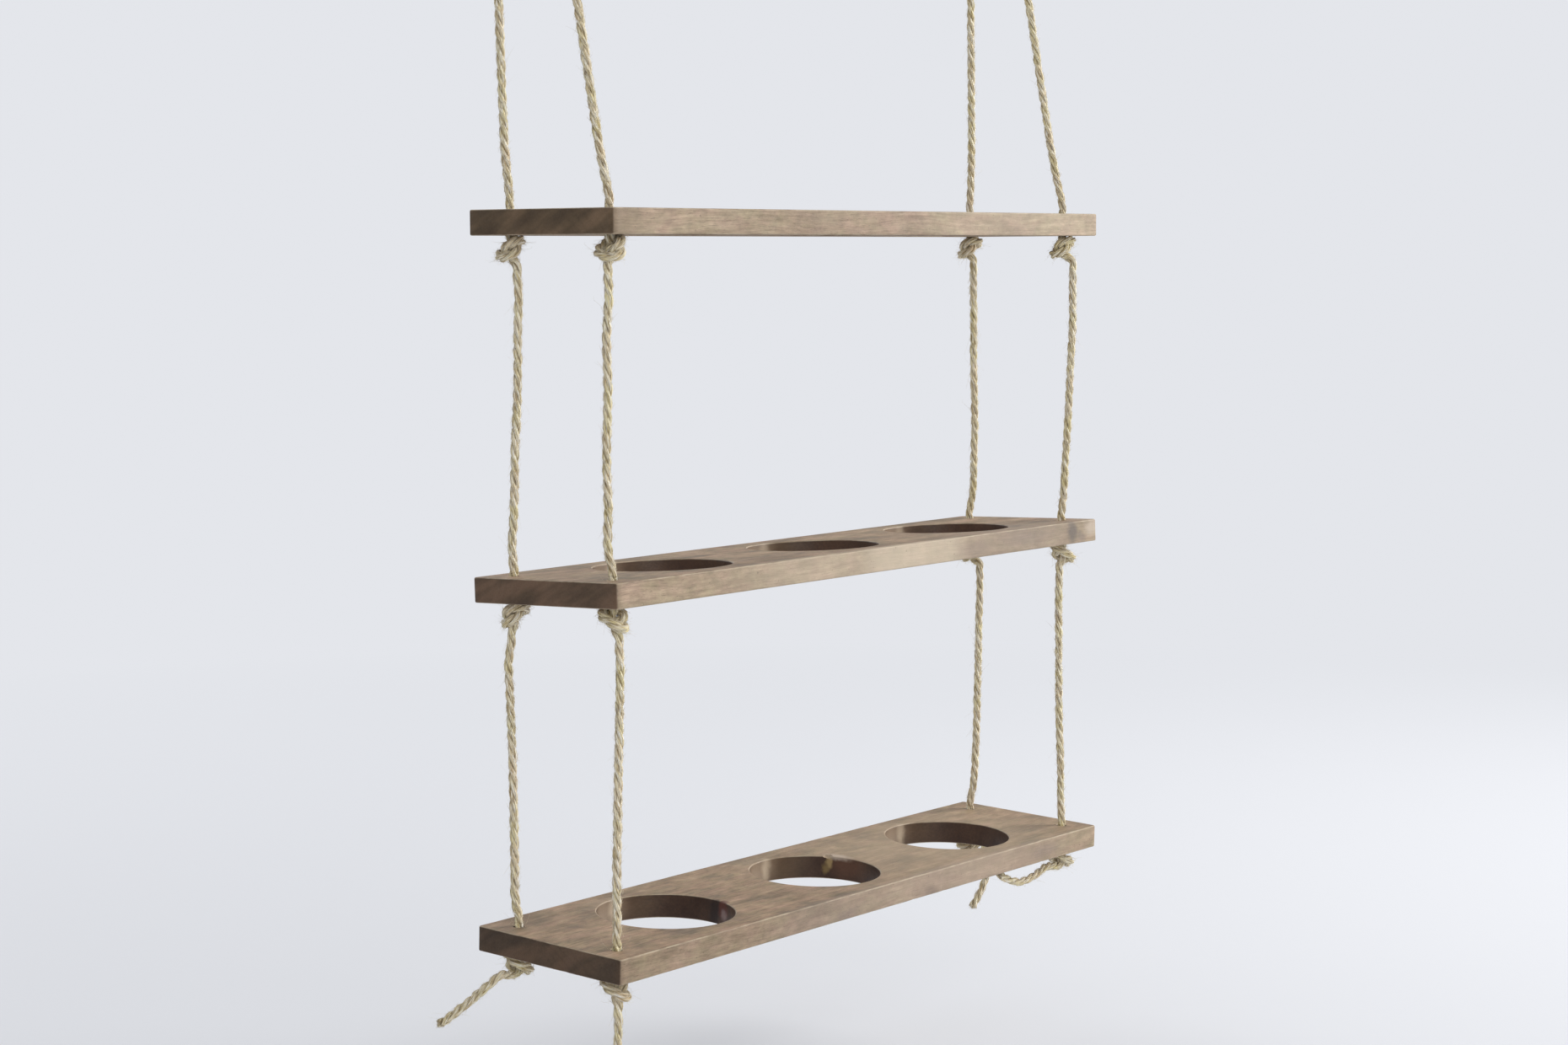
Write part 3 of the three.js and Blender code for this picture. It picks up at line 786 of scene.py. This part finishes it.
class Wood:
    """The places, noises and masks that the layers of one board's wood share, in the board's own frame."""

    def __init__(self, tree, tier, seed):
        self.tree, self.tier = tree, tier
        coords = add(tree, "TexCoord")
        self.local = add(tree, "Mapping", {"vector_type": "TEXTURE"}, i0=coords.outputs[3],
                         i1=(0, BOARD_Y, DROP[tier]), i2=(math.radians(LEAN[tier]), 0, 0)).outputs[0]
        shift = tuple(seed * share for share in SEED_SHIFT)
        self.still = vector_math(tree, "ADD", self.local, shift).outputs[0]
        # the grain wanders a little as it runs along the board
        slow = stretched(tree, self.still, DRIFT_NOISE)
        drift = add(tree, "TexNoise", None, Vector=slow, Scale=1.0, Detail=2.0)
        self.grain = vector_math(tree, "MULTIPLY_ADD", drift.outputs[1], DRIFT, i2=self.still).outputs[0]
        normal = add(tree, "SeparateXYZ", None, i0=coords.outputs[1])
        nx, nz = (math_node(tree, "ABSOLUTE", normal.outputs[axis]) for axis in (0, 2))
        self.x, self.y, self.z = add(tree, "SeparateXYZ", None, i0=self.local).outputs
        self.flat = mask(tree, nz, 0.8, 0.97)
        self.edge = ramp(tree, nz, [(0.3, grey(0)), (0.5, grey(1)), (0.9, grey(1)), (0.985, grey(0))])
        self.across = mask(tree, nx, 0.55, 0.9)
        self.wall = times(tree, self.inside(), mask(tree, nz, 0.25, 0.7, 1, 0))
        self.fibre, self.fine, self.mottle = (self.noise(name) for name in ("fibre", "fine", "mottle"))
        self.stain = self.noise("stain")
        self.ring = self.rings()

    def noise(self, name):
        moving = name in GRAIN_NOISE
        scale, detail, rough = GRAIN_NOISE[name] if moving else STILL_NOISE[name]
        vector = stretched(self.tree, self.grain if moving else self.still, scale)
        return noise(self.tree, vector, 1.0, detail, rough)

    def inside(self):
        """1 further in than the board's outer skin, 0 in the skin."""
        tree = self.tree
        in_depth = math_node(tree, "LESS_THAN", math_node(tree, "ABSOLUTE", self.y), DEPTH / 2 - SKIN)
        in_length = math_node(tree, "LESS_THAN", math_node(tree, "ABSOLUTE", self.x), LENGTH / 2 - SKIN)
        return times(tree, in_depth, in_length)

    def rings(self):
        """Year rings about a pith that runs along the board, plain in patches."""
        tree = self.tree
        pith_y, pith_z = PITH[self.tier]
        aside, above = minus(tree, self.y, pith_y), minus(tree, self.z, pith_z)
        away = add(tree, "CombineXYZ", None, i0=0.0, i1=aside, i2=above)
        away = vector_math(tree, "LENGTH", away.outputs[0]).outputs[1]
        away = plus(tree, away, times(tree, self.noise("wander"), 0.05))
        away = plus(tree, away, times(tree, self.noise("wobble"), 0.006))
        ring = ramp(tree, math_node(tree, "FRACT", times(tree, away, RINGS_PER_METRE)), RING_TONES)
        return mixed(tree, mask(tree, self.noise("patch"), 0.4, 0.65, 0.15, 0.8), grey(0.5), ring)

    def stained(self):
        """The planed faces; the flat ones hold more stain than the edges."""
        tree = self.tree
        tone = layered(
            tree, ramp(tree, self.stain, [(0.27, WOOD["deep"]), (0.5, WOOD["mid"]), (0.73, WOOD["light"])]),
            (mask(tree, self.noise("tint"), 0.36, 0.68, 0, 0.6), WOOD["warm"]),
            (0.3, self.ring, "SOFT_LIGHT"),
            (0.55, mask(tree, self.mottle, 0.3, 0.7, 0.3, 0.68), "OVERLAY"),
            (0.6, ramp(tree, self.noise("hue"), HUES), "OVERLAY"),
            (0.42, mask(tree, self.fibre, 0.25, 0.75, 0.24, 0.76), "OVERLAY"),
            (times(tree, mask(tree, self.fine, 0.33, 0.41, 1, 0), 0.55), WOOD["pore"]),
            (self.flat, WOOD["face"], "MULTIPLY"))
        clouded = mixed(tree, 1.0, tone, ramp(tree, self.noise("cloud"), CLOUDS), "OVERLAY")
        return mixed(tree, times(tree, self.flat, 0.8), tone, clouded)

    def end_grain(self):
        """End grain drinks more stain, in slanting smears."""
        tree = self.tree
        slant = add(tree, "Mapping", None, i0=self.still, i2=(math.radians(SMEAR_SLANT), 0, 0)).outputs[0]
        smear = noise(tree, stretched(tree, slant, SMEAR), 1.0, 3.0, 0.5)
        dense = noise(tree, self.still, 1500.0, 2.0, 0.6)
        stops = [(0.38, WOOD["end_deep"]), (0.5, WOOD["end_mid"]), (0.63, WOOD["end_light"])]
        return layered(
            tree, ramp(tree, smear, stops), (0.3, mask(tree, dense, 0.3, 0.7, 0.3, 0.7), "OVERLAY"),
            (0.25, self.ring, "SOFT_LIGHT"), (1.0, END_DARKNESS[self.tier], "MULTIPLY"))

    def bore(self):
        """The holes' walls drink the most."""
        tree = self.tree
        tone = ramp(tree, self.stain, [(0.35, WOOD["bore_deep"]), (0.65, WOOD["bore_light"])])
        return mixed(tree, 0.5, tone, mask(tree, self.fibre, 0.3, 0.7, 0.3, 0.75), "OVERLAY")

    def rubbed(self):
        """Where rubbed edges show paler wood."""
        tree = self.tree
        rub = times(tree, self.edge, mask(tree, self.noise("worn"), 0.4, 0.6, 0.1, 0.7))
        return times(tree, rub, minus(tree, 1.0, times(tree, self.across, 0.8)))

    def ragged(self):
        """The board's places, shaken, for marks with uneven edges."""
        tree = self.tree
        shake = add(tree, "TexNoise", None, Vector=self.local, Scale=RAGGED_NOISE, Detail=3.0).outputs[1]
        shake = vector_math(tree, "MULTIPLY_ADD", shake, grey(RAGGED), i2=self.local).outputs[0]
        return vector_math(tree, "SUBTRACT", shake, grey(RAGGED / 2)).outputs[0]

    def relief(self):
        return weighted(self.tree, (self.fibre, 0.7), (self.fine, 0.5), (self.ring, 0.3), (self.mottle, 0.4))


def wood_material(tier, seed):
    material, tree = new_material(f"worn_wood_{tier}")
    wood = Wood(tree, tier, seed)
    tone = layered(
        tree, marked(tree, wood.stained(), wood.local, FADING_AND_PAINTED_LIGHT[tier]),
        (times(tree, wood.across, 0.94), wood.end_grain()),
        (times(tree, wood.wall, 0.95), wood.bore()),
        (wood.rubbed(), WOOD["rubbed"]),
        (mask(tree, noise(tree, wood.still, 420.0, 2.0, 0.6), 0.69, 0.76, 0, 0.6), WOOD["grime"]))
    # the hole walls' marks are painted light and a painted sheen band
    tone = marked(tree, tone, wood.ragged(), SPOTS_AND_HIGHLIGHT[tier] + bore_painted_light(tier))
    rough = mask(tree, wood.fibre, 0.2, 0.8, 0.74, 0.52)
    rough = mixed(tree, times(tree, wood.wall, 0.8), rough, grey(0.3))
    set_shader(tree, {"Base Color": tone, "Roughness": rough, "Specular IOR Level": 0.3,
                      "Normal": bumped(tree, 0.35, 0.5 * MM, wood.relief())})
    return material


# Boards: eased edges with small knocks, round holes
EASE, EASE_STEPS = 1.2 * MM, 3
CORNER = 1.6 * MM
OUTLINE_STEP = 4 * MM
EDGE_INSET, EDGE_WEAR = 0.02 * MM, 0.09 * MM
KNOCK_SPACING, KNOCK_DEPTH = 0.11, (0.15 * MM, 0.5 * MM)
POT_SIDES, POT_WEAR = 144, 0.05 * MM
ROPE_HOLE_SIDES, ROPE_HOLE_WEAR = 28, 0.06 * MM
WELD = 1e-6
SHARP_EDGE = math.radians(50)
CHIP_TIER = "bottom"
CHIP_PLACE = (50.5 * MM, 24.2 * MM, THICK / 2 + 0.6 * MM)
CHIP_SIZE = (5.0 * MM, 4.4 * MM, 2.4 * MM)
CHIP_ROUGHNESS, CHIP_SEED = 0.07, 5


def board_outline(rng):
    """Points round the board, a few millimetres apart, with small knocks inwards."""
    x, y = LENGTH / 2, DEPTH / 2
    corners = [(-x, -y), (x, -y), (x, y), (-x, y)]
    points = []
    for here, there in zip(corners, corners[1:] + corners[:1]):
        start, end = np.array(here), np.array(there)
        span = np.linalg.norm(end - start)
        way = (end - start) / span
        inward = np.array([-way[1], way[0]])
        count = int(span / OUTLINE_STEP)
        at = np.linspace(CORNER, span - CORNER, count)
        depth = np.abs(smooth_noise(rng, count, 3, EDGE_WEAR)) + EDGE_INSET
        for _ in range(int(span / KNOCK_SPACING)):
            spot = rng.integers(2, count - 2)
            depth[spot] += rng.uniform(*KNOCK_DEPTH)
        points.extend(start + way * t + inward * d for t, d in zip(at, depth))
    return points


def circle(x, y, radius, count, rng, rough):
    wear = smooth_noise(rng, count, 4, rough)
    wear[-3:] = wear[:3][::-1]
    radii = radius + np.abs(wear)
    a = -np.arange(count) / count * FULL_TURN
    return np.column_stack([x + np.cos(a) * radii, y + np.sin(a) * radii])


def board(tier, seed, material):
    rng = np.random.default_rng(seed)
    curve = bpy.data.curves.new(f"board_{tier}", "CURVE")
    curve.dimensions = "2D"
    curve.fill_mode = "BOTH"
    curve.extrude = THICK / 2 - EASE
    curve.bevel_depth = EASE
    curve.bevel_resolution = EASE_STEPS
    curve.offset = -EASE
    loops = [board_outline(rng)]
    loops += [circle(x, 0, POT_RADIUS, POT_SIDES, rng, POT_WEAR) for x in POT_X]
    loops += [circle(x, y, ROPE_HOLE_RADIUS, ROPE_HOLE_SIDES, rng, ROPE_HOLE_WEAR)
              for x in (-ROPE_X, ROPE_X) for y in (-ROPE_Y, ROPE_Y)]
    for loop in loops:
        spline = curve.splines.new("POLY")
        spline.points.add(len(loop) - 1)
        for point, place in zip(spline.points, loop):
            point.co = (place[0], place[1], 0, 1)
        spline.use_cyclic_u = True
    shape = linked("board_shape", curve)
    bpy.context.view_layer.update()
    mesh = bpy.data.meshes.new_from_object(shape.evaluated_get(bpy.context.evaluated_depsgraph_get()))
    bpy.data.objects.remove(shape)
    mesh.transform(tier_matrix(tier))
    mesh.name = f"board_{tier}"
    mesh.materials.clear()
    mesh.materials.append(material)
    weld = bmesh.new()
    weld.from_mesh(mesh)
    bmesh.ops.remove_doubles(weld, verts=weld.verts, dist=WELD)
    bmesh.ops.recalc_face_normals(weld, faces=weld.faces)
    weld.to_mesh(mesh)
    weld.free()
    return linked(f"board_{tier}", mesh)


def chip(obj):
    """Breaks a small splinter out of a hole's rim."""
    rng = np.random.default_rng(CHIP_SEED)
    tool = bmesh.new()
    bmesh.ops.create_icosphere(tool, subdivisions=3, radius=1.0)
    for vert in tool.verts:
        vert.co *= 1 + rng.normal(0, CHIP_ROUGHNESS)
        vert.co = vert.co * Vector(CHIP_SIZE) + Vector(CHIP_PLACE)
    mesh = bpy.data.meshes.new("chip_tool")
    tool.to_mesh(mesh)
    tool.free()
    mesh.transform(tier_matrix(CHIP_TIER))
    cutter = linked("chip_tool", mesh)
    cut = obj.modifiers.new("chip", "BOOLEAN")
    cut.operation = "DIFFERENCE"
    cut.solver = "EXACT"
    cut.object = cutter
    bpy.context.view_layer.update()
    whole = bpy.data.meshes.new_from_object(obj.evaluated_get(bpy.context.evaluated_depsgraph_get()))
    obj.modifiers.clear()
    whole.name = obj.data.name
    obj.data = whole
    bpy.data.objects.remove(cutter)


def shade_board(obj):
    mesh = obj.data
    mesh.polygons.foreach_set("use_smooth", [True] * len(mesh.polygons))
    mesh.set_sharp_from_angle(angle=SHARP_EDGE)
    weighted = obj.modifiers.new("weighted", "WEIGHTED_NORMAL")
    weighted.keep_sharp = True


# Hooks: a bent wire with a rounded tip, a flange, and a screw that tapers into the wall
NECK = 6 * MM
TIP_RISE = 6 * MM
WIRE_SIDES, SCREW_SIDES, SCREW_STATIONS = 28, 36, 110
FLANGE = ((-1.5, 0.3), (-1.5, 5.4), (-1.38, 5.75), (-1.05, 5.97), (-0.25, 6.0), (0, 5.95), (0, WIRE / 2 / MM))
SCREW_FROM, SCREW_TO = 0.2 * MM, 24.9 * MM
SCREW_END, SCREW_TAPER = 25 * MM, 7 * MM
SCREW_CORE = 0.78
THREAD_FROM, THREAD_PITCH, THREAD_HEIGHT, THREAD_SHARPNESS = 4 * MM, 1.9 * MM, 0.5 * MM, 5
HOOK_SHARP = math.radians(48)


def hook_wire(shell):
    def arc(y, z, radius, start, stop, steps):
        angles = np.radians(np.linspace(start, stop, steps))
        return [[0, y + math.cos(a) * radius, z + math.sin(a) * radius] for a in angles]
    points = [[0, 0, SHANK_Z]] + arc(NECK - 8 * MM, SHANK_Z - NECK, NECK, 90, 180, 6)
    points += arc(SEAT_Y, CROOK, CROOK, 0, -180, 14) + [[0, SEAT_Y - CROOK, CROOK + TIP_RISE]]
    line = smooth(points, 12)
    tangents, normals = frames_along(line)
    run = distances(line)
    rounding = np.clip(1 - (run[-1] - run) / (WIRE / 2 * 0.8), 0, 1)
    radii = WIRE / 2 * np.sqrt(np.clip(1 - rounding ** 2, 0.03, 1))
    shell.tube(ring_points(line, tangents, normals, radii[:, None] * np.ones(WIRE_SIDES), WIRE_SIDES), run)


def hook_screw(shell):
    flange_y, flange_radii = np.array(FLANGE).T * MM
    y = np.concatenate([flange_y, np.linspace(SCREW_FROM, SCREW_TO, SCREW_STATIONS)])
    base = np.concatenate([flange_radii, np.full(SCREW_STATIONS, WIRE / 2)])
    in_wall = y > SCREW_FROM / 2
    taper = np.clip((SCREW_END - y) / SCREW_TAPER, 0.02, 1)
    core = np.where(in_wall, base * SCREW_CORE * taper, base)
    turn = np.arange(SCREW_SIDES) / SCREW_SIDES
    phase = (y[:, None] / THREAD_PITCH - turn[None, :]) % 1
    ridge = np.clip(1 - np.abs(phase - 0.5) * THREAD_SHARPNESS, 0, 1)
    threaded = (y > THREAD_FROM)[:, None]
    height = ridge * THREAD_HEIGHT * np.minimum(1, taper * 1.4)[:, None]
    radii = core[:, None] + np.where(threaded, height, 0)
    radii = np.where(in_wall[:, None] & ~threaded, WIRE / 2, radii)
    spine = np.column_stack([np.zeros(len(y)), y, np.full(len(y), SHANK_Z)])
    tangents = np.tile([0, 1.0, 0], (len(y), 1))
    outward = np.tile([1.0, 0, 0], (len(y), 1))
    shell.tube(ring_points(spine, tangents, outward, radii, SCREW_SIDES), y)


def add_hook(side, material):
    shell = Shell()
    hook_wire(shell)
    hook_screw(shell)
    obj = shell.make(f"screw_hook_{side}", [material])
    obj.data.transform(Matrix.Translation((SIDES[side] * ROPE_X, 0, 0)))
    obj.data.set_sharp_from_angle(angle=HOOK_SHARP)
    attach(obj, "wall_hooks")
    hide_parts(f"hook_{side}")


# Lights, floor and background
BACKGROUND = (0.775, 0.79, 0.83)
SOFT_LIGHT, SOFT_STRENGTH = (0.95, 0.97, 1.0), 0.45
FLOOR, FLOOR_REACH, FLOOR_BELOW = (0.715, 0.728, 0.765), 14.0, 0.06
FADE_SPAN, FADE_FROM, FADE_TO = 8.0, 0.1, 0.36
# Name, place, target, size, watts and colour
LIGHTS = (
    ("key", (3.0, -1.7, 0.5), (0, -0.1, -0.8), 1.8, 125, (1.0, 0.985, 0.96)),
    ("fill", (-1.6, -3.2, 0.2), (0, -0.1, -0.8), 2.6, 40, (0.97, 0.98, 1.0)),
    ("back", (0.5, 2.6, 0.8), (0, 0, -0.7), 2.4, 25, (1, 1, 1)),
)


def seen_directly(tree):
    """1 where the camera, a gloss or a glass looks at the surface, 0 where it only sends light."""
    path = add(tree, "LightPath")
    seen = math_node(tree, "MAXIMUM", path.outputs["Is Camera Ray"], path.outputs["Is Glossy Ray"])
    return math_node(tree, "MAXIMUM", seen, path.outputs["Is Transmission Ray"])


def add_background():
    world = bpy.data.worlds.new("studio")
    bpy.context.scene.world = world
    world.use_nodes = True
    tree = world.node_tree
    tree.nodes.clear()
    soft = add(tree, "Background", None, Color=SOFT_LIGHT, Strength=SOFT_STRENGTH)
    shown = add(tree, "Background", None, Color=BACKGROUND, Strength=1.0)
    mix = add(tree, "MixShader", None, i0=seen_directly(tree), i1=soft.outputs[0], i2=shown.outputs[0])
    add(tree, "OutputWorld", None, i0=mix.outputs[0])


def add_floor():
    """A pale floor that takes the shadow and fades into the background further out."""
    mesh = bpy.data.meshes.new("floor")
    r, z = FLOOR_REACH, cad_box[0][2] - FLOOR_BELOW
    mesh.from_pydata([(-r, -r, z), (r, -r, z), (r, r, z), (-r, r, z)], [], [(0, 1, 2, 3)])
    floor = linked("floor", mesh)
    material, tree = new_material("pale_floor")
    away = vector_math(tree, "LENGTH", add(tree, "TexCoord").outputs[3]).outputs[1]
    fade = mask(tree, math_node(tree, "DIVIDE", away, FADE_SPAN), FADE_FROM, FADE_TO)
    fade = times(tree, fade, seen_directly(tree))
    set_shader(tree, {"Base Color": FLOOR, "Roughness": 0.9})
    glow = add(tree, "Emission", None, Color=BACKGROUND, Strength=1.0)
    lit = tree.nodes["Principled BSDF"].outputs[0]
    mix = add(tree, "MixShader", None, i0=fade, i1=lit, i2=glow.outputs[0])
    tree.links.new(mix.outputs[0], tree.nodes["Material Output"].inputs[0])
    mesh.materials.append(material)


def add_light(name, place, target, size, watts, colour):
    data = bpy.data.lights.new(name, "AREA")
    data.shape = "DISK"
    data.size = size
    data.energy = watts
    data.color = colour
    light = linked(name, data)
    light.location = place
    light.rotation_euler = (Vector(target) - Vector(place)).to_track_quat("-Z", "Y").to_euler()


# The scene: camera and ropes first, then hooks, loose fibres, boards and the studio
ROPE_SEED, WOOD_SEED, WOOD_SEED_STEP, BOARD_SEED = 11, 3, 5, 41
BODY = {node: body for body, nodes in frame["record"]["behaviour"]["bodies"].items() for node in nodes}


def dress_rope(name, shell, line, materials):
    """Makes the piece for a rope node, in place of the frame's part."""
    obj = shell.make(name.replace("rope_", "twist_").replace("knot_", "tied_"), materials)
    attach(obj, BODY[name])
    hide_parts(name)
    if name.startswith("rope_") and "bend" not in name:
        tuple(line[0])
        float(distances(line)[-1])
        "bare" if "tail" in name else "object"
        "hanging" if "tail" in name else "taut"


def add_ropes_and_hooks():
    fibre, stray, steel = rope_material(), hair_material(), steel_material()
    loose = {body: Shell() for body in BODY.values()}
    loose_by_node = {node: loose[body] for node, body in BODY.items()}
    for number, side in enumerate(SIDES):
        for name, shell, line in strands(whole_rope(side), ROPE_SEED + number, loose_by_node):
            dress_rope(name, shell, line[::-1] if "front" in name else line, [fibre, stray])
        add_hook(side, steel)
    for body, shell in loose.items():
        if shell.verts:
            obj = shell.make(f"stray_fibres_{body}", [stray])
            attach(obj, body)


def add_boards():
    for number, tier in enumerate(DROP):
        obj = board(tier, BOARD_SEED + number, wood_material(tier, WOOD_SEED + number * WOOD_SEED_STEP))
        if tier == CHIP_TIER:
            chip(obj)
        shade_board(obj)
        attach(obj, f"{tier}_tier")
        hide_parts(f"shelf_{tier}")


bpy.context.scene.view_settings.view_transform = "Standard"
add_camera()
add_ropes_and_hooks()
add_boards()
add_background()
add_floor()
for light in LIGHTS:
    add_light(*light)
